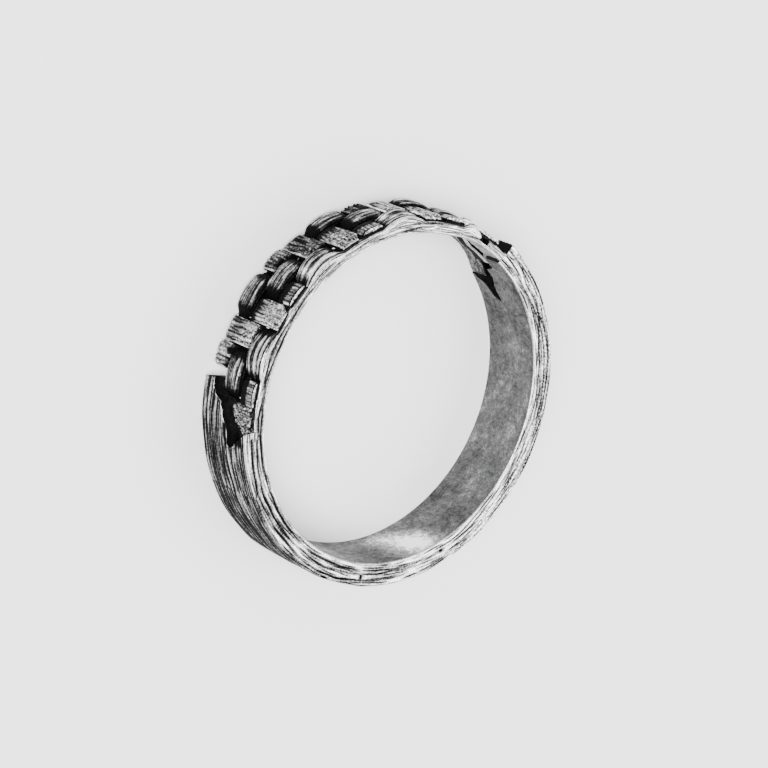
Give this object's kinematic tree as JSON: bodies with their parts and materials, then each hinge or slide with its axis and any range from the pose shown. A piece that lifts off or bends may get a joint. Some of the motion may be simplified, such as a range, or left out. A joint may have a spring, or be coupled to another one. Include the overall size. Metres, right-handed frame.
{
  "type": "braided band ring",
  "caption": "Antiqued silver band ring with wood-grain faces, torn open along one side and filled with a woven twill of striated strips.",
  "frame": {"origin": "on the ring's axis, in the plane of the far face that it lies on", "axes": "+Z along the ring's axis, up from the face that it lies on; -Y towards the middle of the weave"},
  "size_m": [0.0218, 0.0216, 0.004],
  "materials": {
    "band_silver": "oxidised silver with grain lines, black in the grooves and polished on the ridges",
    "strand_silver": "oxidised silver with lengthwise striations",
    "cross_silver": "oxidised silver with lengthwise striations",
    "broken_silver": "rough oxidised silver"
  },
  "bodies": {
    "root": {"band": "band_silver", "middle_strand": "strand_silver", "far_strand": "strand_silver", "broken_strip": "broken_silver", "cross_strip_1": "cross_silver", "cross_strip_2": "cross_silver", "cross_strip_3": "cross_silver", "cross_strip_4": "cross_silver", "cross_strip_5": "cross_silver", "cross_strip_6": "cross_silver", "cross_strip_7": "cross_silver", "cross_strip_8": "cross_silver", "cross_strip_9": "cross_silver", "cross_strip_10": "cross_silver", "cross_strip_11": "cross_silver", "cross_strip_12": "cross_silver", "cross_strip_13": "cross_silver", "cross_strip_14": "cross_silver", "cross_strip_15": "cross_silver"}
  },
  "joints": []
}
